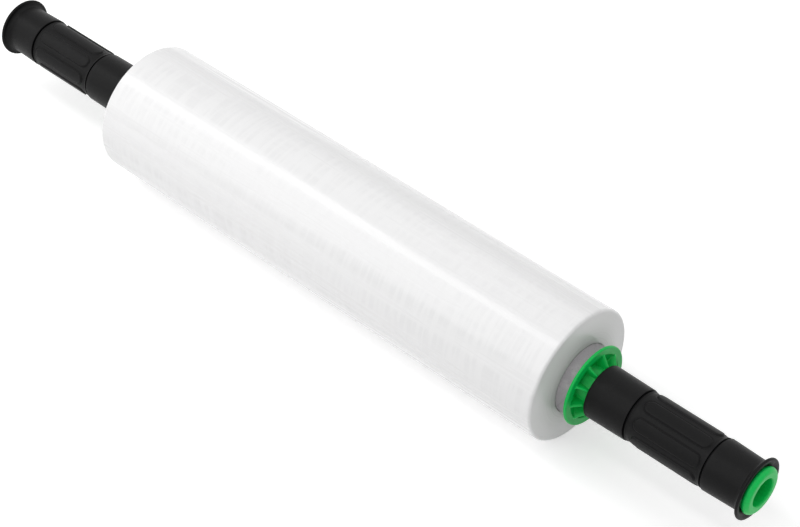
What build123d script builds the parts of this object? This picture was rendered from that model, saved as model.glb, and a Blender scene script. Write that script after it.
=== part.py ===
from build123d import *
import os
from math import sqrt

# A roll of hand stretch film with a turning grip at each end. X runs along the axis of
# the roll, +Z is up, and the roll lies on the small flat spot that its weight presses in
# the film. The origin is the middle of that flat spot. Every size is in millimetres.

# Wound film
film_width = 457.0
film_diameter = 110.0
film_shoulder = 2.2
flat_spot_width = 15.0

# Cardboard core, longer than the film at both ends
core_bore = 50.8
core_wall = 3.1
core_overhang = 12.7

# Spindle: a plug in the core, a flange on its end and the axle that carries the grip
plug_length = 62.0
plug_rib_height = 1.4
plug_rib_width = 3.0
plug_rib_count = 8
plug_interference = 0.1
plug_wall = 2.4
plug_lead_in = 4.0
flange_overhang = 4.3
flange_thickness = 2.4
flange_rim_width = 6.4
dish_depth = 1.2
dish_slope = 2.4
gusset_count = 10
gusset_thickness = 1.6
gusset_rise = 6.5
axle_diameter = 35.0
axle_wall = 3.0
web_thickness = 3.0

# Grip: a rubber sleeve with a band of raised pads between two ring grooves
axle_clearance = 0.08
end_play = 0.3
grip_wall = 2.52
inner_band_length = 35.3
inner_band_swell = 0.5
pad_length = 57.4
pad_width = 10.0
pad_height = 1.0
pad_edge = 0.45
pad_inner_gap = 5.2
pad_outer_gap = 3.6
pad_count = 8
ring_groove_width = 1.6
ring_groove_depth = 1.4
outer_band_length = 32.2
outer_band_taper = 0.9
lip_height = 4.8
lip_thickness = 2.6
lip_flare = 3.4
lip_dish = 2.3

# End cap: pressed in the axle, its head holds the grip on
cap_overlap = 1.52
cap_head_height = 6.2
cap_face_round = 3.4
cap_back_round = 2.6
cap_wall = 3.1
cap_mouth_round = 1.2
cap_plug_length = 18.0
cap_interference = 0.05

# How far each turning grip and each spindle stands round from the top, in degrees
spindle_turn = 18.0
right_grip_turn = 12.0
left_grip_turn = 32.0

film_radius = film_diameter / 2
axis_height = sqrt(film_radius**2 - (flat_spot_width / 2) ** 2)
core_bore_radius = core_bore / 2
core_radius = core_bore_radius + core_wall
axle_radius = axle_diameter / 2
axle_bore_radius = axle_radius - axle_wall
grip_bore_radius = axle_radius + axle_clearance

# Places along the axis, from the middle of the roll out to the right-hand end
film_end = film_width / 2
core_end = film_end + core_overhang
flange_face = core_end + flange_thickness
axle_shoulder = flange_face + gusset_rise
grip_start = axle_shoulder + end_play
groove_1_start = grip_start + inner_band_length
pad_band_start = groove_1_start + ring_groove_width
pads_start = pad_band_start + pad_inner_gap
groove_2_start = pads_start + pad_length + pad_outer_gap
outer_band_start = groove_2_start + ring_groove_width
lip_back = outer_band_start + outer_band_length
grip_end = lip_back + lip_thickness
axle_end = grip_end - lip_dish + end_play
cap_face = axle_end + cap_head_height


def turned(points, rounds=()):
    """A solid of revolution about X from (x, radius) points. rounds lists (x, radius, fillet)."""
    outline = Plane.XZ * make_face(Polyline(*points, close=True))
    for x, radius, size in rounds:
        corner = outline.vertices().sort_by_distance((x, 0, radius))[0]
        outline = fillet(corner, size)
    return revolve(outline, Axis.X)


def around(shape, count, first_turn=0.0):
    """Copies of a shape that point up, spread evenly round X."""
    return [Rot(X=first_turn + 360 * i / count) * shape for i in range(count)]


def make_film():
    roll = turned(
        [
            (-film_end, core_radius),
            (film_end, core_radius),
            (film_end, film_radius),
            (-film_end, film_radius),
        ],
        rounds=[
            (film_end, film_radius, film_shoulder),
            (-film_end, film_radius, film_shoulder),
        ],
    )
    under_floor = Pos(0, 0, -axis_height) * Box(
        film_width * 2,
        film_diameter,
        film_diameter,
        align=(Align.CENTER, Align.CENTER, Align.MAX),
    )
    return roll - under_floor


def make_core():
    return turned(
        [
            (-core_end, core_bore_radius),
            (core_end, core_bore_radius),
            (core_end, core_radius),
            (-core_end, core_radius),
        ]
    )


def make_spindle():
    plug_start = core_end - plug_length
    plug_radius = core_bore_radius - plug_rib_height
    plug_inside = plug_radius - plug_wall
    flange_radius = core_radius + flange_overhang
    rim_inside = flange_radius - flange_rim_width
    dish_edge = flange_face - dish_depth
    dish_bottom = dish_edge - dish_slope
    body = turned(
        [
            (plug_start, plug_inside),
            (plug_start, plug_radius),
            (core_end, plug_radius),
            (core_end, flange_radius),
            (flange_face, flange_radius),
            (flange_face, rim_inside),
            (dish_edge, rim_inside - dish_depth / 2),
            (dish_bottom, axle_radius),
            (axle_end, axle_radius),
            (axle_end, axle_bore_radius),
            (dish_bottom - web_thickness, axle_bore_radius),
            (dish_bottom - web_thickness, plug_inside),
        ],
        rounds=[
            (core_end, flange_radius, flange_thickness * 0.25),
            (flange_face, flange_radius, flange_thickness * 0.45),
            (flange_face, rim_inside, min(flange_rim_width * 0.3, dish_depth)),
        ],
    )

    # Plug ribs run the length of the plug and taper at its inner end to lead into the core
    rib_top = core_bore_radius + plug_interference
    rib_outline = Plane.XZ * make_face(
        Polyline(
            (plug_start, plug_radius - plug_wall / 2),
            (plug_start, plug_radius),
            (plug_start + plug_lead_in, rib_top),
            (core_end, rib_top),
            (core_end, plug_radius - plug_wall / 2),
            close=True,
        )
    )
    plug_rib = extrude(rib_outline, plug_rib_width / 2, both=True)
    rib_envelope = Pos(plug_start, 0, 0) * (
        Rot(Y=90) * Cylinder(rib_top, plug_length, align=(Align.CENTER, Align.CENTER, Align.MIN))
    )

    # Gussets climb from the rim of the flange to the shoulder that the grip runs against
    gusset_outline = Plane.XZ * make_face(
        Polyline(
            (dish_bottom, axle_radius - web_thickness / 2),
            (axle_shoulder, axle_radius - web_thickness / 2),
            (axle_shoulder, axle_radius + web_thickness),
            (flange_face - dish_depth / 3, rim_inside + flange_rim_width / 3),
            (dish_edge, rim_inside + flange_rim_width / 3),
            (dish_bottom, axle_radius + web_thickness / 2),
            close=True,
        )
    )
    gusset = extrude(gusset_outline, gusset_thickness / 2, both=True)
    for rib in around(plug_rib, plug_rib_count):
        body += rib & rib_envelope
    for rib in around(gusset, gusset_count):
        body += rib
    return Rot(X=spindle_turn) * body


def make_grip():
    floor_radius = grip_bore_radius + grip_wall
    groove_floor = floor_radius - ring_groove_depth
    pad_radius = floor_radius + pad_height
    inner_radius = pad_radius + inner_band_swell
    end_radius = pad_radius - outer_band_taper
    lip_radius = end_radius + lip_height
    lip_round = lip_thickness * 0.45
    flare = min(lip_flare, 0.95 * (lip_radius - end_radius - lip_round))
    sleeve = turned(
        [
            (grip_start, grip_bore_radius),
            (grip_start, inner_radius),
            (groove_1_start, pad_radius),
            (groove_1_start, groove_floor),
            (pad_band_start, groove_floor),
            (pad_band_start, pad_radius - pad_edge),
            (pad_band_start + ring_groove_width, floor_radius),
            (groove_2_start - ring_groove_width, floor_radius),
            (groove_2_start, pad_radius - pad_edge),
            (groove_2_start, groove_floor),
            (outer_band_start, groove_floor),
            (outer_band_start, pad_radius),
            (lip_back, end_radius),
            (lip_back, lip_radius),
            (grip_end, lip_radius),
            (grip_end, lip_radius - lip_thickness),
            (grip_end - lip_dish, grip_bore_radius),
        ],
        rounds=[
            (lip_back, end_radius, flare),
            (lip_back, lip_radius, lip_round),
            (grip_end, lip_radius, lip_round),
            (grip_start, inner_radius, 1.0),
        ],
    )

    # Each pad is a long rounded block that stands on the floor of the pad band
    pad_middle = pads_start + pad_length / 2
    block = Pos(pad_middle, 0, 0) * extrude(SlotOverall(pad_length, pad_width), pad_radius * 2)
    skin = turned(
        [
            (pad_band_start, floor_radius - ring_groove_depth / 2),
            (groove_2_start, floor_radius - ring_groove_depth / 2),
            (groove_2_start, pad_radius),
            (pad_band_start, pad_radius),
        ]
    )
    pad = block & skin
    top = pad.faces().filter_by(GeomType.CYLINDER).sort_by(Axis.Z)[-1]
    pad = fillet(top.edges(), pad_edge)
    for copy in around(pad, pad_count):
        sleeve += copy
    return sleeve


def make_cap():
    bore_radius = axle_bore_radius - cap_wall
    head_radius = grip_bore_radius + cap_overlap
    plug_radius = axle_bore_radius + cap_interference
    plug_start = axle_end - cap_plug_length
    return turned(
        [
            (plug_start, bore_radius),
            (plug_start, plug_radius),
            (axle_end, plug_radius),
            (axle_end, head_radius),
            (cap_face, head_radius),
            (cap_face, bore_radius),
        ],
        rounds=[
            (cap_face, head_radius, cap_face_round),
            (axle_end, head_radius, cap_back_round),
            (cap_face, bore_radius, cap_mouth_round),
            (plug_start, plug_radius, 1.0),
        ],
    )


def right_end(shape, turn=0.0):
    return Pos(0, 0, axis_height) * Rot(X=turn) * shape


def left_end(shape, turn=0.0):
    return Pos(0, 0, axis_height) * Rot(X=turn) * Rot(Z=180) * shape


spindle = make_spindle()
grip = make_grip()
cap = make_cap()

nodes = {
    "film_roll": right_end(make_film()),
    "core_tube": right_end(make_core()),
    "right_spindle": right_end(spindle),
    "left_spindle": left_end(spindle),
    "right_grip": right_end(grip, right_grip_turn),
    "left_grip": left_end(grip, left_grip_turn),
    "right_end_cap": right_end(cap),
    "left_end_cap": left_end(cap),
}

os.makedirs("parts", exist_ok=True)
for name, shape in nodes.items():
    export_step(shape, f"parts/{name}.step")
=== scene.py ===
import math

import bmesh
import bpy
from mathutils import Matrix, Vector


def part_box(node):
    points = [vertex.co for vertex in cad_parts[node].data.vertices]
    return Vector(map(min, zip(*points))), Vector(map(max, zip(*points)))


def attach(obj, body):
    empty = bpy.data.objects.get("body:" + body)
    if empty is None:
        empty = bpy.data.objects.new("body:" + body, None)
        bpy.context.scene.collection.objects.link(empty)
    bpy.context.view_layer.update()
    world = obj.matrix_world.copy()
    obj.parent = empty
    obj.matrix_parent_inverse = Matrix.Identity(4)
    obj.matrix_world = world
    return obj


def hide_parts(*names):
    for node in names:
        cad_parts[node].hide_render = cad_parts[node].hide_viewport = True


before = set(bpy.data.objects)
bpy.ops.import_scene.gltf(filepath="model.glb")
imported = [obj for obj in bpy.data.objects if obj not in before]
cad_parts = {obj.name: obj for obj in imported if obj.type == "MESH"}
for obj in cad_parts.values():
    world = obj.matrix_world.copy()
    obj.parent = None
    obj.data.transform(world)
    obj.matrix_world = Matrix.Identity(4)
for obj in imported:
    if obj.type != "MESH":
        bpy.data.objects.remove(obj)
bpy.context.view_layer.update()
print("frame loaded:", len(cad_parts), "nodes")

mm = 0.001


def midHeight(node):
    low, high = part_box(node)
    return (low[2] + high[2]) / 2


def halfWidth(node):
    low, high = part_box(node)
    return (high[1] - low[1]) / 2


# Places that every piece shares, in metres, all read from the frame
axisHeight = midHeight("core_tube")
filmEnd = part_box("film_roll")[1][0]
filmRadius = halfWidth("film_roll")
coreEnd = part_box("core_tube")[1][0]
coreRadius = halfWidth("core_tube")
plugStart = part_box("right_spindle")[0][0]
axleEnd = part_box("right_spindle")[1][0]
flangeRadius = halfWidth("right_spindle")
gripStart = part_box("right_grip")[0][0]
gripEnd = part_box("right_grip")[1][0]
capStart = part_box("right_end_cap")[0][0]
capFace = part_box("right_end_cap")[1][0]

bothEnds = (("right", False), ("left", True))  # side, and whether it is the turned-round copy
filletSteps = 5  # facets on each rounded corner of an outline
maskSlack = 0.1 * mm  # keeps a mask clear of the edge that it follows


def place(tree, kind, inputs=None, **settings):
    node = tree.nodes.new(kind)
    for key, value in settings.items():
        setattr(node, key, value)
    for key, value in (inputs or {}).items():
        if isinstance(value, bpy.types.NodeSocket):
            tree.links.new(value, node.inputs[key])
        else:
            node.inputs[key].default_value = value
    return node


def calc(tree, operation, *values):
    node = place(tree, "ShaderNodeMath", dict(enumerate(values)), operation=operation)
    return node.outputs[0]


def times(tree, product, *others):
    for value in others:
        product = calc(tree, "MULTIPLY", product, value)
    return product


def ramp(tree, value, fromLow, fromHigh, toLow=0.0, toHigh=1.0, smooth=True):
    node = place(tree, "ShaderNodeMapRange", {
        "Value": value, "From Min": fromLow, "From Max": fromHigh, "To Min": toLow, "To Max": toHigh,
    }, interpolation_type="SMOOTHSTEP" if smooth else "LINEAR")
    return node.outputs[0]


def newTree(name, kind, ins=(), outs=()):
    tree = bpy.data.node_groups.new(name, kind)
    for title, socketKind, value in ins:
        socket = tree.interface.new_socket(title, in_out="INPUT", socket_type=socketKind)
        if value is not None:
            socket.default_value = value
    for title, socketKind in outs:
        tree.interface.new_socket(title, in_out="OUTPUT", socket_type=socketKind)
    start = tree.nodes.new("NodeGroupInput")
    end = tree.nodes.new("NodeGroupOutput")
    return tree, start.outputs, end.inputs


def newShapeTree(name, shape):
    # The capitalised entries of a piece's dictionary become the named inputs of its tree
    ins = [("Geometry", "NodeSocketGeometry", None)]
    for title, value in shape.items():
        if title[0].isupper():
            ins.append((title, "NodeSocketInt" if isinstance(value, int) else "NodeSocketFloat", value))
    return newTree(name, "GeometryNodeTree", ins, [("Geometry", "NodeSocketGeometry")])


def outline(corners):
    # corners: (x, radius, fillet, spacing of the run that follows), walked as a closed loop
    points = []
    count = len(corners)
    for i in range(count):
        before = Vector(corners[i - 1][:2])
        here = Vector(corners[i][:2])
        after = Vector(corners[(i + 1) % count][:2])
        size = corners[i][2]
        toBefore = (before - here).normalized()
        toAfter = (after - here).normalized()
        if size > 0:
            half = toBefore.angle(toAfter) / 2
            reach = size / math.tan(half)
            centre = here + (toBefore + toAfter).normalized() * (size / math.sin(half))
            first = here + toBefore * reach - centre
            last = here + toAfter * reach - centre
            for step in range(filletSteps + 1):
                spoke = first.lerp(last, step / filletSteps).normalized() * size
                points.append(centre + spoke)
        else:
            points.append(here)
        nextSize = corners[(i + 1) % count][2]
        start = points[-1]
        if nextSize > 0:
            beyond = Vector(corners[(i + 2) % count][:2])
            backAngle = (here - after).normalized().angle((beyond - after).normalized()) / 2
            stop = after + (here - after).normalized() * (nextSize / math.tan(backAngle))
        else:
            stop = after
        runs = max(1, round((stop - start).length / corners[i][3]))
        points += [start.lerp(stop, k / runs) for k in range(1, runs)]
    return points


def latheMesh(name, points, segments):
    # Each outline point becomes a ring about the roll's own axis
    rings = len(points)
    verts = []
    for x, radius in points:
        for s in range(segments):
            turn = 2 * math.pi * s / segments
            verts.append((x, -radius * math.sin(turn), axisHeight + radius * math.cos(turn)))
    faces = []
    for i in range(rings):
        j = (i + 1) % rings
        for s in range(segments):
            t = (s + 1) % segments
            faces.append((i * segments + s, j * segments + s, j * segments + t, i * segments + t))
    mesh = bpy.data.meshes.new(name)
    mesh.from_pydata(verts, [], faces)
    solid = bmesh.new()
    solid.from_mesh(mesh)
    if solid.calc_volume(signed=True) < 0:
        bmesh.ops.reverse_faces(solid, faces=solid.faces)
    solid.to_mesh(mesh)
    solid.free()
    piece = bpy.data.objects.new(name, mesh)
    bpy.context.scene.collection.objects.link(piece)
    return piece


def turnPiece(piece, degrees, mirrored):
    # A left-hand piece is the right-hand one turned half round the upright axis
    up = Vector((0, 0, axisHeight))
    turn = Matrix.Rotation(math.radians(degrees), 4, "X")
    if mirrored:
        turn = turn @ Matrix.Rotation(math.pi, 4, "Z")
    piece.data.transform(Matrix.Translation(up) @ turn @ Matrix.Translation(-up))


def applyTree(piece, tree, shape):
    modifier = piece.modifiers.new("shape", "NODES")
    modifier.node_group = tree
    for item in tree.interface.items_tree:
        if item.item_type == "SOCKET" and item.in_out == "INPUT" and item.name in shape:
            modifier[item.identifier] = shape[item.name]
    graph = bpy.context.evaluated_depsgraph_get()
    graph.update()
    made = bpy.data.meshes.new_from_object(piece.evaluated_get(graph))
    piece.modifiers.clear()
    piece.data = made


def hand(piece, body, node):
    piece.data.shade_smooth()
    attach(piece, body)
    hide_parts(node)
    print("made", piece.name, len(piece.data.polygons), "faces")


def aboutAxis(tree, position):
    # Place along the roll's axis, radius from it, angle in turns and unit spoke of a point
    centred = place(tree, "ShaderNodeVectorMath", {0: position, 1: (0, 0, -axisHeight)}, operation="ADD")
    x, y, z = place(tree, "ShaderNodeSeparateXYZ", {0: centred.outputs[0]}).outputs
    flat = place(tree, "ShaderNodeCombineXYZ", {"Y": y, "Z": z})
    length = place(tree, "ShaderNodeVectorMath", {0: flat.outputs[0]}, operation="LENGTH")
    spoke = place(tree, "ShaderNodeVectorMath", {0: flat.outputs[0]}, operation="NORMALIZE")
    angle = calc(tree, "ARCTAN2", times(tree, y, -1.0), z)
    turns = calc(tree, "DIVIDE", angle, 2 * math.pi)
    return x, length.outputs["Value"], turns, spoke.outputs[0]


def fromNearest(tree, turns, radius, count):
    # Arc length to the nearest of count places spread evenly round the axis
    share = calc(tree, "ADD", times(tree, turns, count), 0.5)
    part = calc(tree, "SUBTRACT", calc(tree, "FRACT", share), 0.5)
    arc = calc(tree, "DIVIDE", times(tree, part, 2 * math.pi), count)
    return calc(tree, "ABSOLUTE", times(tree, arc, radius))


def bandNoise(tree, x, spoke, alongScale, aroundScale, detail):
    # Noise drawn out round the roll or along it, by how its two scales compare
    parts = place(tree, "ShaderNodeSeparateXYZ", {0: spoke})
    vector = place(tree, "ShaderNodeCombineXYZ", {
        "X": times(tree, x, alongScale),
        "Y": times(tree, parts.outputs[1], aroundScale),
        "Z": times(tree, parts.outputs[2], aroundScale),
    })
    noise = place(tree, "ShaderNodeTexNoise", {"Vector": vector.outputs[0], "Scale": 1.0, "Detail": detail})
    return noise.outputs[0]


def moveBy(tree, geometry, direction, amount):
    offset = place(tree, "ShaderNodeVectorMath", {0: direction, "Scale": amount}, operation="SCALE")
    moved = place(tree, "GeometryNodeSetPosition", {"Geometry": geometry, "Offset": offset.outputs[0]})
    return moved.outputs[0]


def endTree(tree, geometry, outputs, material):
    realized = place(tree, "GeometryNodeRealizeInstances", {0: geometry})
    done = place(tree, "GeometryNodeSetMaterial", {0: realized.outputs[0], "Material": material})
    tree.links.new(done.outputs[0], outputs[0])


def makePatternGroup():
    # Streaks that run round the roll or along it, and a fine grain, for every finish
    tree, ins, outs = newTree("roundAndAlong", "ShaderNodeTree", [
        ("Vector", "NodeSocketVector", None),
        ("Round Scale", "NodeSocketFloat", 200.0),
        ("Along Scale", "NodeSocketFloat", 120.0),
        ("Grain Scale", "NodeSocketFloat", 1500.0),
    ], [(title, "NodeSocketFloat") for title in ("Round", "Along", "Grain", "Radius", "Reach")])
    x, radius, turns, spoke = aboutAxis(tree, ins["Vector"])
    grain = place(tree, "ShaderNodeTexNoise", {
        "Vector": ins["Vector"], "Scale": ins["Grain Scale"], "Detail": 2.0})
    patterns = {
        "Round": bandNoise(tree, x, spoke, ins["Round Scale"], 1.3, 4.0),
        "Along": bandNoise(tree, x, spoke, 3.0, times(tree, ins["Along Scale"], 0.05), 3.0),
        "Grain": grain.outputs[0],
        "Radius": radius,
        "Reach": calc(tree, "ABSOLUTE", x),  # distance from the middle of the roll
    }
    for title, value in patterns.items():
        tree.links.new(value, outs[title])
    return tree


def makeScuffGroup():
    # Patchy rub marks and settled dust, as a mask from 0 to 1
    tree, ins, outs = newTree("scuffs", "ShaderNodeTree", [
        ("Vector", "NodeSocketVector", None),
        ("Scale", "NodeSocketFloat", 60.0),
        ("Cover", "NodeSocketFloat", 0.4),
    ], [("Mask", "NodeSocketFloat")])
    patch = place(tree, "ShaderNodeTexNoise", {
        "Vector": ins["Vector"], "Scale": ins["Scale"], "Detail": 5.0, "Roughness": 0.62})
    low = calc(tree, "SUBTRACT", 0.78, times(tree, ins["Cover"], 0.5))
    mask = ramp(tree, patch.outputs[0], low, calc(tree, "ADD", low, 0.22))
    tree.links.new(mask, outs["Mask"])
    return tree


patternGroup = makePatternGroup()
scuffGroup = makeScuffGroup()


def startMaterial(name, look):
    material = bpy.data.materials.new(name)
    material.use_nodes = True
    tree = material.node_tree
    shader = tree.nodes["Principled BSDF"]
    shader.inputs["Specular IOR Level"].default_value = look["gloss"]
    shader.inputs["Coat Weight"].default_value = look.get("coat", 0.0)
    shader.inputs["Coat Roughness"].default_value = look.get("coatRoughness", 0.1)
    coords = place(tree, "ShaderNodeTexCoord").outputs["Object"]
    scales = {key: look[key] for key in ("Round Scale", "Along Scale", "Grain Scale")}
    pattern = place(tree, "ShaderNodeGroup", {"Vector": coords, **scales}, node_tree=patternGroup)
    return material, tree, shader, coords, pattern.outputs


def addScuffs(tree, coords, look):
    scuffs = place(tree, "ShaderNodeGroup", {
        "Vector": coords, "Scale": look["Scuff Scale"], "Cover": look["Scuff Cover"],
    }, node_tree=scuffGroup)
    return scuffs.outputs["Mask"]


def blendColour(tree, mask, first, second):
    # Inputs 0, 6 and 7 of a Mix node are its factor and its two colours
    inputs = {0: mask, 6: first, 7: second}
    for key in (6, 7):
        if not isinstance(inputs[key], bpy.types.NodeSocket):
            inputs[key] = (*inputs[key], 1.0)
    return place(tree, "ShaderNodeMix", inputs, data_type="RGBA").outputs[2]


def roughen(tree, shader, mask, look):
    tree.links.new(ramp(tree, mask, 0.3, 0.7, *look["roughness"]), shader.inputs["Roughness"])


def raiseBump(tree, shader, height, look):
    bump = place(tree, "ShaderNodeBump", {
        "Height": height, "Strength": look["bumpStrength"], "Distance": look["bumpDepth"]})
    tree.links.new(bump.outputs[0], shader.inputs["Normal"])


filmLook = {
    "Round Scale": 260.0, "Along Scale": 120.0, "Grain Scale": 400.0,
    "gloss": 0.40, "coat": 0.50, "coatRoughness": 0.14, "roughness": (0.24, 0.36),
    "bumpDepth": 0.14 * mm, "bumpStrength": 0.5, "roundShare": 0.30, "alongShare": 0.35,
    "clear": (0.87, 0.87, 0.872), "milky": (0.825, 0.825, 0.828),
    "edgeOuter": (0.84, 0.84, 0.84), "edgeShadedInner": (0.62, 0.61, 0.61),
    "ring": (0.80, 0.80, 0.80), "ringShare": 0.35, "ringScale": 900.0,
}


def makeFilmMaterial():
    look = filmLook
    material, tree, shader, coords, pattern = startMaterial("stretchFilm", look)
    # Streaks show in patches, where the film was stretched unevenly as it was wound
    streak = times(tree, ramp(tree, pattern["Round"], 0.42, 0.60),
                   ramp(tree, pattern["Along"], 0.38, 0.66))
    wound = blendColour(tree, streak, look["clear"], look["milky"])
    # Wound edges of the film on the two end faces: grey rings, darkened towards the core by painted shade
    ringVector = place(tree, "ShaderNodeCombineXYZ", {"X": times(tree, pattern["Radius"], look["ringScale"])})
    rings = place(tree, "ShaderNodeTexNoise", {
        "Vector": ringVector.outputs[0], "Scale": 1.0, "Detail": 4.0}).outputs[0]
    outward = ramp(tree, pattern["Radius"], coreRadius, filmRadius - 3 * mm)
    edge = blendColour(tree, outward, look["edgeShadedInner"], look["edgeOuter"])
    ringMask = times(tree, ramp(tree, rings, 0.35, 0.65), look["ringShare"])
    ringed = blendColour(tree, ringMask, edge, look["ring"])
    # The end face gives way to the skin over the rounded shoulder
    onFace = times(tree, ramp(tree, pattern["Reach"], filmEnd - 3.2 * mm, filmEnd - 0.4 * mm),
                   ramp(tree, pattern["Radius"], filmRadius - 0.3 * mm, filmRadius - 3.5 * mm))
    offFace = calc(tree, "SUBTRACT", 1.0, onFace)
    tree.links.new(blendColour(tree, onFace, wound, ringed), shader.inputs["Base Color"])
    roughen(tree, shader, calc(tree, "ADD", times(tree, pattern["Along"], offFace), onFace), look)
    skin = calc(tree, "ADD", times(tree, pattern["Round"], look["roundShare"]),
                times(tree, pattern["Along"], look["alongShare"]))
    height = calc(tree, "ADD", times(tree, skin, offFace), times(tree, rings, onFace))
    raiseBump(tree, shader, height, look)
    return material


boardLook = {
    "Round Scale": 500.0, "Along Scale": 400.0, "Grain Scale": 1800.0,
    "Scuff Scale": 90.0, "Scuff Cover": 0.5,
    "gloss": 0.2, "roughness": (0.78, 0.95), "bumpDepth": 0.12 * mm, "bumpStrength": 0.7,
    "board": (0.38, 0.362, 0.38), "pale": (0.46, 0.44, 0.455), "fibre": (0.28, 0.265, 0.28),
    "plyPitch": 105 * mm, "seamWidth": 0.35 * mm,
}


def makeBoardMaterial():
    look = boardLook
    material, tree, shader, coords, pattern = startMaterial("coreBoard", look)
    x, radius, turns, spoke = aboutAxis(tree, coords)
    # The outer ply is wound as a helix, so its butt seam shows as a slanting line
    along = calc(tree, "ADD", calc(tree, "DIVIDE", x, look["plyPitch"]), turns)
    offSeam = calc(tree, "ABSOLUTE", calc(tree, "SUBTRACT", calc(tree, "FRACT", along), 0.5))
    seam = ramp(tree, offSeam, 0.0, look["seamWidth"] / look["plyPitch"], 1.0, 0.0)
    worn = blendColour(tree, addScuffs(tree, coords, look), look["board"], look["pale"])
    flecked = blendColour(tree, ramp(tree, pattern["Grain"], 0.52, 0.72), worn, look["fibre"])
    tree.links.new(blendColour(tree, seam, flecked, look["fibre"]), shader.inputs["Base Color"])
    roughen(tree, shader, pattern["Grain"], look)
    raiseBump(tree, shader, calc(tree, "SUBTRACT", pattern["Grain"], seam), look)
    return material


plasticLook = {
    "Round Scale": 600.0, "Along Scale": 300.0, "Grain Scale": 2200.0,
    "Scuff Scale": 70.0, "Scuff Cover": 0.35,
    "gloss": 0.22, "roughness": (0.30, 0.42), "bumpDepth": 0.03 * mm, "bumpStrength": 0.5,
    "green": (0.0015, 0.53, 0.092), "rubbed": (0.010, 0.60, 0.13), "rubShare": 0.35,
    "flowTone": 0.86, "flowShare": 0.5, "spindleTone": 1.0, "capLitTone": 1.2,
}


def makePlasticMaterial(name, tone):
    look = plasticLook
    material, tree, shader, coords, pattern = startMaterial(name, look)
    # A tone above 1 makes a lighter, lit copy of the green, which is painted light
    green = tuple(min(1.0, part * tone) for part in look["green"])
    rub = times(tree, addScuffs(tree, coords, look), look["rubShare"])
    rubbed = blendColour(tree, rub, green, look["rubbed"])
    # Faint flow marks run along the moulding
    flow = times(tree, ramp(tree, pattern["Along"], 0.35, 0.7), look["flowShare"])
    deeper = tuple(part * look["flowTone"] for part in green)
    tree.links.new(blendColour(tree, flow, rubbed, deeper), shader.inputs["Base Color"])
    roughen(tree, shader, pattern["Grain"], look)
    raiseBump(tree, shader, pattern["Grain"], look)
    return material


rubberLook = {
    "Round Scale": 700.0, "Along Scale": 260.0, "Grain Scale": 1500.0,
    "Scuff Scale": 55.0, "Scuff Cover": 0.45,
    "gloss": 0.13, "roughness": (0.38, 0.54), "bumpDepth": 0.10 * mm, "bumpStrength": 0.55,
    "black": (0.0022, 0.0022, 0.0024), "dusty": (0.010, 0.010, 0.0103), "dustShare": 0.45,
    "edgeRubAndSheen": (0.016, 0.016, 0.0165), "sheenRubLeast": 0.15, "sheenRubMost": 0.8, "scuffBump": 0.3,
}


def makeRubberMaterial():
    look = rubberLook
    material, tree, shader, coords, pattern = startMaterial("gripRubber", look)
    scuff = addScuffs(tree, coords, look)
    dusty = blendColour(tree, times(tree, scuff, look["dustShare"]), look["black"], look["dusty"])
    # Each pad's edge crown is lightened: a painted highlight, varied by the scuffs as rub wear
    padEdge = place(tree, "ShaderNodeAttribute", attribute_name="padEdge").outputs["Fac"]
    rub = times(tree, padEdge, ramp(tree, scuff, 0.0, 0.6, look["sheenRubLeast"], look["sheenRubMost"]))
    tree.links.new(blendColour(tree, rub, dusty, look["edgeRubAndSheen"]), shader.inputs["Base Color"])
    roughen(tree, shader, pattern["Grain"], look)
    height = calc(tree, "ADD", pattern["Grain"], times(tree, scuff, look["scuffBump"]))
    raiseBump(tree, shader, height, look)
    return material


filmMaterial = makeFilmMaterial()
boardMaterial = makeBoardMaterial()
spindleMaterial = makePlasticMaterial("spindlePlastic", plasticLook["spindleTone"])
# The caps take a lighter copy of the spindle green: painted light standing in for their brighter sheen
capMaterial = makePlasticMaterial("capPlastic", plasticLook["capLitTone"])
rubberMaterial = makeRubberMaterial()
print("materials ready")


filmShape = {
    "shoulder": 2.2 * mm, "crown": 2.2 * mm, "skinDepth": 5 * mm, "segments": 320,
    "Streak Depth": 0.06 * mm, "Sag Depth": 0.22 * mm, "Crease Depth": 0.30 * mm,
    # Noise scales along and round the roll, and detail, for each depth above
    "waves": {"Streak Depth": (150.0, 1.2, 3.0), "Sag Depth": (14.0, 0.8, 1.0),
              "Crease Depth": (5.0, 6.0, 2.0)},
}


def makeFilmTree():
    shape = filmShape
    tree, ins, outs = newShapeTree("woundFilm", shape)
    position = place(tree, "GeometryNodeInputPosition").outputs[0]
    x, radius, turns, spoke = aboutAxis(tree, position)
    lift = 0.0
    for depth, (alongScale, aroundScale, detail) in shape["waves"].items():
        noise = bandNoise(tree, x, spoke, alongScale, aroundScale, detail)
        wave = times(tree, calc(tree, "SUBTRACT", noise, 0.5), ins[depth])
        lift = calc(tree, "ADD", lift, wave)
    skin = ramp(tree, radius, filmRadius - shape["skinDepth"], filmRadius - 1 * mm)
    raised = moveBy(tree, ins["Geometry"], spoke, times(tree, lift, skin))
    # The roll's weight presses it flat where it meets the floor
    now = place(tree, "ShaderNodeSeparateXYZ", {0: place(tree, "GeometryNodeInputPosition").outputs[0]})
    pressed = place(tree, "ShaderNodeCombineXYZ", {
        "X": now.outputs[0], "Y": now.outputs[1], "Z": calc(tree, "MAXIMUM", now.outputs[2], 0.0)})
    rested = place(tree, "GeometryNodeSetPosition", {"Geometry": raised, "Position": pressed.outputs[0]})
    endTree(tree, rested.outputs[0], outs, filmMaterial)
    return tree


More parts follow.
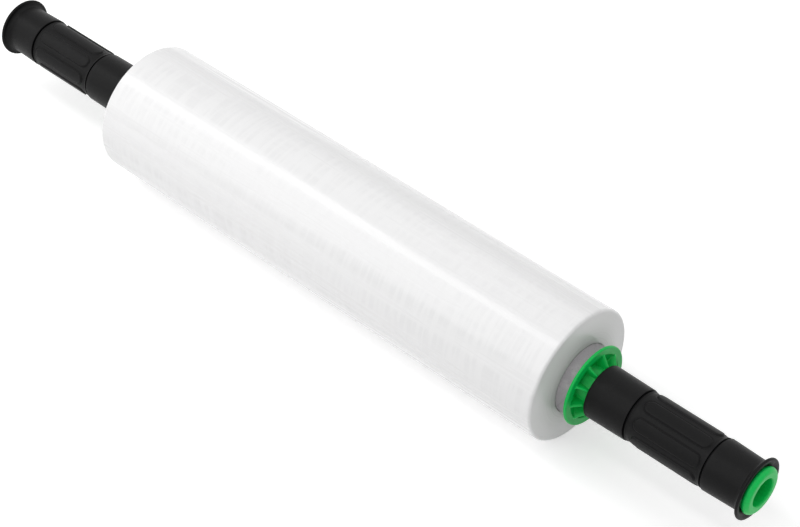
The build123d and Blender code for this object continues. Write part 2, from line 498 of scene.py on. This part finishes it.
def makeFilm():
    shape = filmShape
    corners = [
        (-filmEnd, coreRadius, 0, 24 * mm),
        (filmEnd, coreRadius, 0, 1.2 * mm),
        (filmEnd, filmRadius, shape["shoulder"], 2.4 * mm),
        (-filmEnd, filmRadius, shape["shoulder"], 1.2 * mm),
    ]
    points = []
    for x, radius in outline(corners):
        # End faces bulge a little towards the core, where the turns are wound tightest
        inward = (filmRadius - radius) / (filmRadius - coreRadius)
        if abs(x) > filmEnd - shape["shoulder"]:
            x += math.copysign(shape["crown"] * (1 - math.cos(math.pi * inward)) / 2, x)
        points.append((x, radius))
    film = latheMesh("filmRoll", points, shape["segments"])
    applyTree(film, makeFilmTree(), shape)
    hand(film, "roll", "film_roll")


coreShape = {"wall": 3.1 * mm, "edgeRound": 0.5 * mm, "segments": 192}


def makeCore():
    shape = coreShape
    inside = coreRadius - shape["wall"]
    corners = [
        (-coreEnd, inside, shape["edgeRound"], 8 * mm),
        (coreEnd, inside, shape["edgeRound"], 1 * mm),
        (coreEnd, coreRadius, shape["edgeRound"], 3 * mm),
        (-coreEnd, coreRadius, shape["edgeRound"], 1 * mm),
    ]
    core = latheMesh("coreTube", outline(corners), shape["segments"])
    core.data.materials.append(boardMaterial)
    hand(core, "roll", "core_tube")


spindleShape = {
    "flangeThick": 2.4 * mm, "rimWidth": 6.4 * mm, "dishDepth": 1.2 * mm, "dishSlope": 2.4 * mm,
    "backRound": 0.6 * mm, "faceRound": 1.08 * mm, "rimRound": 1.2 * mm,
    "axleRadius": 17.5 * mm, "axleWall": 3.0 * mm, "webThick": 3.0 * mm,
    "plugRadius": 24.0 * mm, "plugWall": 2.4 * mm, "segments": 440, "turn": 18.0,
    "Gusset Count": 10, "Gusset Width": 2.0 * mm, "Gusset Rise": 6.5 * mm,
    "Rib Count": 8, "Rib Width": 3.0 * mm, "Rib Height": 1.35 * mm,
    "ribLeadIn": 4 * mm, "ribStop": 0.5 * mm,
    # Where each flank starts and ends, in half widths from the middle of its gusset or rib
    "gussetFlank": (0.45, 1.6), "ribFlank": (0.7, 1.1),
}
flangeFace = coreEnd + spindleShape["flangeThick"]
rimInside = flangeRadius - spindleShape["rimWidth"]
dishEdge = flangeFace - spindleShape["dishDepth"]
dishBottom = dishEdge - spindleShape["dishSlope"]


def ridgeMask(tree, turns, radius, count, width, flank):
    # 1 on the crest of evenly spaced ridges, falling softly to 0 at their feet
    offRidge = fromNearest(tree, turns, radius, count)
    half = times(tree, width, 0.5)
    return ramp(tree, offRidge, times(tree, half, flank[0]), times(tree, half, flank[1]), 1.0, 0.0)


def makeSpindleTree():
    shape = spindleShape
    tree, ins, outs = newShapeTree("gussetsAndRibs", shape)
    position = place(tree, "GeometryNodeInputPosition").outputs[0]
    x, radius, turns, spoke = aboutAxis(tree, position)
    # Gussets climb from the rim to the shoulder beside the grip, with soft flanks
    gusset = ridgeMask(tree, turns, radius, ins["Gusset Count"], ins["Gusset Width"], shape["gussetFlank"])
    crestFoot = flangeRadius - shape["rimWidth"] * 2 / 3
    shoulder = calc(tree, "ADD", flangeFace, ins["Gusset Rise"])
    crest = ramp(tree, radius, shape["axleRadius"] + shape["webThick"], crestFoot, shoulder,
                 flangeFace - shape["dishDepth"] / 3, smooth=False)
    climb = calc(tree, "MAXIMUM", calc(tree, "SUBTRACT", crest, x), 0.0)
    # Only the front of the flange rises: not its back, and nothing behind the dish
    ahead = calc(tree, "MAXIMUM", calc(tree, "GREATER_THAN", x, coreEnd + 2 * maskSlack),
                 calc(tree, "LESS_THAN", radius, shape["plugRadius"] - 2 * maskSlack))
    inDish = times(tree, ahead, calc(tree, "GREATER_THAN", x, dishBottom - maskSlack),
                   calc(tree, "GREATER_THAN", radius, shape["axleRadius"] - maskSlack),
                   calc(tree, "LESS_THAN", radius, crestFoot))
    dished = moveBy(tree, ins["Geometry"], (1, 0, 0), times(tree, climb, gusset, inDish))
    # Ribs on the plug grip the inside of the core
    rib = ridgeMask(tree, turns, radius, ins["Rib Count"], ins["Rib Width"], shape["ribFlank"])
    leadIn = ramp(tree, x, plugStart, plugStart + shape["ribLeadIn"], smooth=False)
    onPlug = times(tree, calc(tree, "GREATER_THAN", radius, shape["plugRadius"] - 2 * maskSlack),
                   calc(tree, "LESS_THAN", x, coreEnd - shape["ribStop"]))
    ribbed = moveBy(tree, dished, spoke, times(tree, rib, leadIn, times(tree, onPlug, ins["Rib Height"])))
    endTree(tree, ribbed, outs, spindleMaterial)
    return tree


def makeSpindles():
    shape = spindleShape
    plugInside = shape["plugRadius"] - shape["plugWall"]
    boreRadius = shape["axleRadius"] - shape["axleWall"]
    corners = [
        (plugStart, plugInside, 0.5 * mm, 1 * mm),
        (plugStart, shape["plugRadius"], 0.5 * mm, 2.5 * mm),
        (coreEnd, shape["plugRadius"], 0, 1.5 * mm),
        (coreEnd, flangeRadius, shape["backRound"], 1 * mm),
        (flangeFace, flangeRadius, shape["faceRound"], 0.4 * mm),
        (flangeFace, rimInside, shape["rimRound"], 0.5 * mm),
        (dishEdge, rimInside - shape["dishDepth"] / 2, 0, 0.35 * mm),
        (dishBottom, shape["axleRadius"], 0, 12 * mm),
        (axleEnd, shape["axleRadius"], 0.4 * mm, 1 * mm),
        (axleEnd, boreRadius, 0.4 * mm, 12 * mm),
        (dishBottom - shape["webThick"], boreRadius, 0, 2 * mm),
        (dishBottom - shape["webThick"], plugInside, 0, 8 * mm),
    ]
    tree = makeSpindleTree()
    for side, mirrored in bothEnds:
        spindle = latheMesh(side + "Spindle", outline(corners), shape["segments"])
        applyTree(spindle, tree, shape)
        turnPiece(spindle, shape["turn"], mirrored)
        hand(spindle, "roll", side + "_spindle")


gripShape = {
    "boreRadius": 17.58 * mm, "wall": 2.52 * mm, "swell": 0.5 * mm,
    "innerBand": 35.3 * mm, "groove": 1.6 * mm, "grooveDepth": 1.4 * mm,
    "padGap": 5.2 * mm, "bandEnd": 3.6 * mm, "outerBand": 32.2 * mm, "taper": 0.9 * mm,
    "lipHeight": 4.8 * mm, "lipThick": 2.6 * mm, "lipFlare": 3.4 * mm, "lipDish": 2.3 * mm,
    "Pad Count": 8, "Pad Length": 57.4 * mm, "Pad Width": 10.0 * mm, "Pad Height": 1.0 * mm,
    "Pad Edge": 0.45 * mm, "Moat Width": 0.6 * mm, "Moat Depth": 0.4 * mm,
    "padMargin": 1.8 * mm, "rubWidth": 0.8 * mm,
    "segments": 352, "rightTurn": 12.0, "leftTurn": 32.0,
}


def makePadTree(padMiddle):
    shape = gripShape
    tree, ins, outs = newShapeTree("raisedPads", shape)
    position = place(tree, "GeometryNodeInputPosition").outputs[0]
    x, radius, turns, spoke = aboutAxis(tree, position)
    # Distance to a long round-ended pad: a line down its middle, grown by half its width
    halfWide = times(tree, ins["Pad Width"], 0.5)
    halfLong = times(tree, ins["Pad Length"], 0.5)
    fromMiddle = calc(tree, "ABSOLUTE", calc(tree, "SUBTRACT", x, padMiddle))
    straight = calc(tree, "SUBTRACT", halfLong, halfWide)
    past = calc(tree, "MAXIMUM", calc(tree, "SUBTRACT", fromMiddle, straight), 0.0)
    across = fromNearest(tree, turns, radius, ins["Pad Count"])
    reach = calc(tree, "SQRT", calc(tree, "ADD", times(tree, past, past), times(tree, across, across)))
    outside = calc(tree, "SUBTRACT", reach, halfWide)
    # Pads stand only on the outer skin of their own band
    onSkin = calc(tree, "GREATER_THAN", radius, shape["boreRadius"] + shape["wall"] * 0.9)
    onBand = calc(tree, "LESS_THAN", fromMiddle, calc(tree, "ADD", halfLong, shape["padMargin"]))
    allowed = times(tree, onSkin, onBand)
    rise = ramp(tree, outside, times(tree, ins["Pad Edge"], -1.0), times(tree, ins["Pad Edge"], 0.3),
                1.0, 0.0)
    # A shallow moat runs round the foot of each pad
    fromFoot = calc(tree, "ABSOLUTE", calc(tree, "SUBTRACT", outside, ins["Moat Width"]))
    moat = times(tree, ramp(tree, fromFoot, 0.0, ins["Moat Width"], 1.0, 0.0), allowed)
    lift = calc(tree, "SUBTRACT", times(tree, times(tree, rise, allowed), ins["Pad Height"]),
                times(tree, moat, ins["Moat Depth"]))
    # The lighter line along the crown of each pad's edge: a painted highlight as well as rub wear
    fromCrown = calc(tree, "ABSOLUTE", calc(tree, "ADD", outside, ins["Pad Edge"]))
    rub = times(tree, ramp(tree, fromCrown, 0.0, shape["rubWidth"], 1.0, 0.0), allowed)
    marked = place(tree, "GeometryNodeStoreNamedAttribute",
                   {"Geometry": ins["Geometry"], "Name": "padEdge", "Value": rub},
                   data_type="FLOAT", domain="POINT")
    endTree(tree, moveBy(tree, marked.outputs[0], spoke, lift), outs, rubberMaterial)
    return tree


def makeGrips():
    shape = gripShape
    floor = shape["boreRadius"] + shape["wall"]
    grooveFloor = floor - shape["grooveDepth"]
    padTop = floor + shape["Pad Height"]
    endRadius = padTop - shape["taper"]
    lipRadius = endRadius + shape["lipHeight"]
    lipRound = shape["lipThick"] * 0.45
    groove = shape["groove"]
    grooveOne = gripStart + shape["innerBand"]
    bandStart = grooveOne + groove
    padsStart = bandStart + shape["padGap"]
    grooveTwo = padsStart + shape["Pad Length"] + shape["bandEnd"]
    outerStart = grooveTwo + groove
    lipBack = outerStart + shape["outerBand"]
    soft = 0.35 * mm
    corners = [
        (gripStart, shape["boreRadius"], soft, 1 * mm),
        (gripStart, padTop + shape["swell"], 1.0 * mm, 4 * mm),
        (grooveOne, padTop, soft, 1 * mm),
        (grooveOne, grooveFloor, soft, 0.8 * mm),
        (bandStart, grooveFloor, soft, 1 * mm),
        (bandStart, padTop - shape["Pad Edge"], soft, 0.5 * mm),
        (bandStart + groove, floor, 0.6 * mm, 0.52 * mm),
        (grooveTwo - groove, floor, 0.6 * mm, 0.5 * mm),
        (grooveTwo, padTop - shape["Pad Edge"], soft, 1 * mm),
        (grooveTwo, grooveFloor, soft, 0.8 * mm),
        (outerStart, grooveFloor, soft, 1 * mm),
        (outerStart, padTop, soft, 4 * mm),
        (lipBack, endRadius, shape["lipFlare"], 1 * mm),
        (lipBack, lipRadius, lipRound, 0.8 * mm),
        (gripEnd, lipRadius, lipRound, 1 * mm),
        (gripEnd, lipRadius - shape["lipThick"], 0.5 * mm, 1 * mm),
        (gripEnd - shape["lipDish"], shape["boreRadius"], 0.3 * mm, 12 * mm),
    ]
    tree = makePadTree(padsStart + shape["Pad Length"] / 2)
    for side, mirrored in bothEnds:
        grip = latheMesh(side + "Grip", outline(corners), shape["segments"])
        applyTree(grip, tree, shape)
        turnPiece(grip, shape[side + "Turn"], mirrored)
        hand(grip, side + "_grip", side + "_grip")


capShape = {
    "wall": 3.1 * mm, "plugRadius": 14.5 * mm, "headHeight": 6.2 * mm,
    "faceRound": 3.4 * mm, "backRound": 2.6 * mm, "mouthRound": 1.2 * mm, "segments": 192,
}


def makeCaps():
    shape = capShape
    headRadius = halfWidth("right_end_cap")
    bore = shape["plugRadius"] - shape["wall"]
    headBack = capFace - shape["headHeight"]
    corners = [
        (capStart, bore, 0.4 * mm, 1 * mm),
        (capStart, shape["plugRadius"], 1.0 * mm, 3 * mm),
        (headBack, shape["plugRadius"], 0, 1 * mm),
        (headBack, headRadius, shape["backRound"], 0.8 * mm),
        (capFace, headRadius, shape["faceRound"], 0.8 * mm),
        (capFace, bore, shape["mouthRound"], 3 * mm),
    ]
    for side, mirrored in bothEnds:
        cap = latheMesh(side + "EndCap", outline(corners), shape["segments"])
        cap.data.materials.append(capMaterial)
        turnPiece(cap, 0.0, mirrored)
        hand(cap, "roll", side + "_end_cap")


makeFilm()
makeCore()
makeSpindles()
makeGrips()
makeCaps()


def grey(level):
    return (level, level, level, 1.0)


def whiteToTheEye(tree, lit, white):
    # Rays from the camera, and those that a gloss or a glass sends on, meet the white one
    path = place(tree, "ShaderNodeLightPath")
    seen = calc(tree, "MAXIMUM", path.outputs["Is Camera Ray"],
                calc(tree, "MAXIMUM", path.outputs["Is Glossy Ray"], path.outputs["Is Transmission Ray"]))
    mix = place(tree, "ShaderNodeMixShader", {0: seen, 1: lit, 2: white})
    return mix.outputs[0]


stageLook = {
    "floorSize": 8.0, "floorGrey": 0.8, "shadowShare": 0.92, "drop": 0.2 * mm,
    "lift": 0.38, "paleFrom": 0.45, "paleTo": 1.6, "skyStrength": 0.40,
}


def makeFloor():
    look = stageLook
    half = look["floorSize"] / 2
    down = -look["drop"]
    mesh = bpy.data.meshes.new("floor")
    mesh.from_pydata([(-half, -half, down), (half, -half, down), (half, half, down), (-half, half, down)],
                     [], [(0, 1, 2, 3)])
    floor = bpy.data.objects.new("floor", mesh)
    bpy.context.scene.collection.objects.link(floor)
    material = bpy.data.materials.new("paperFloor")
    material.use_nodes = True
    tree = material.node_tree
    tree.nodes.remove(tree.nodes["Principled BSDF"])
    plain = place(tree, "ShaderNodeBsdfDiffuse", {0: grey(look["floorGrey"])})
    shaded = place(tree, "ShaderNodeBsdfDiffuse", {0: grey(look["shadowShare"])})
    # The floor fades to plain white away from the object, and is clear from underneath
    coords = place(tree, "ShaderNodeTexCoord")
    away = place(tree, "ShaderNodeVectorMath", {0: coords.outputs["Object"]}, operation="LENGTH")
    fade = ramp(tree, away.outputs["Value"], look["paleFrom"], look["paleTo"], look["lift"], 1.0)
    glow = place(tree, "ShaderNodeEmission", {0: grey(1.0), 1: fade})
    white = place(tree, "ShaderNodeAddShader", {0: shaded.outputs[0], 1: glow.outputs[0]})
    above = whiteToTheEye(tree, plain.outputs[0], white.outputs[0])
    below = place(tree, "ShaderNodeNewGeometry").outputs["Backfacing"]
    clear = place(tree, "ShaderNodeBsdfTransparent")
    sided = place(tree, "ShaderNodeMixShader", {0: below, 1: above, 2: clear.outputs[0]})
    tree.links.new(sided.outputs[0], tree.nodes["Material Output"].inputs["Surface"])
    mesh.materials.append(material)


def makeSky():
    world = bpy.data.worlds.new("studio")
    bpy.context.scene.world = world
    world.use_nodes = True
    tree = world.node_tree
    sky = tree.nodes["Background"]
    sky.inputs[0].default_value = grey(1.0)
    sky.inputs[1].default_value = stageLook["skyStrength"]
    bright = place(tree, "ShaderNodeBackground", {0: grey(1.0), 1: 1.0})
    tree.links.new(whiteToTheEye(tree, sky.outputs[0], bright.outputs[0]),
                   tree.nodes["World Output"].inputs["Surface"])


lampLook = {
    "edge": {"from": (-0.70, -0.46, 1.43), "size": (2.8, 0.30), "power": 7.5},
    "front": {"from": (-0.45, -1.13, 0.98), "size": (3.2, 1.25), "power": 13.5},
    "top": {"from": (0.25, 0.85, 1.65), "size": (3.4, 1.9), "power": 11.0},
}


def makeLamps():
    target = Vector((0, 0, axisHeight))
    for name, look in lampLook.items():
        lamp = bpy.data.lights.new(name, "AREA")
        lamp.shape = "RECTANGLE"
        lamp.size, lamp.size_y = look["size"]
        lamp.energy = look["power"]
        lampObject = bpy.data.objects.new(name, lamp)
        bpy.context.scene.collection.objects.link(lampObject)
        # Each lamp faces the roll, with its long side as nearly along it as it can be
        back = Vector(look["from"]).normalized()
        along = Vector((1, 0, 0))
        side = (along - back * along.dot(back)).normalized()
        facing = Matrix((side, back.cross(side), back)).transposed().to_4x4()
        lampObject.matrix_world = Matrix.Translation(target + Vector(look["from"])) @ facing


cameraLook = {
    "lens": 102.55, "sensor": 36.0, "clip": (0.05, 50.0),
    "azimuth": 42.75, "elevation": 43.06, "from": (0.91781, -0.93683, 1.192444),
}


def makeCamera():
    look = cameraLook
    camera = bpy.data.cameras.new("camera")
    camera.lens = look["lens"]
    camera.sensor_width = look["sensor"]
    camera.clip_start, camera.clip_end = look["clip"]
    cameraObject = bpy.data.objects.new("camera", camera)
    bpy.context.scene.collection.objects.link(cameraObject)
    azimuth = math.radians(look["azimuth"])
    elevation = math.radians(look["elevation"])
    back = Vector((math.sin(azimuth) * math.cos(elevation), -math.cos(azimuth) * math.cos(elevation),
                   math.sin(elevation)))
    cameraObject.rotation_euler = back.to_track_quat("Z", "Y").to_euler()
    cameraObject.location = Vector((0, 0, axisHeight)) + Vector(look["from"])
    bpy.context.scene.camera = cameraObject


makeFloor()
makeSky()
makeLamps()
makeCamera()
bpy.context.scene.view_settings.view_transform = "Standard"
print("stage, lamps and camera ready")
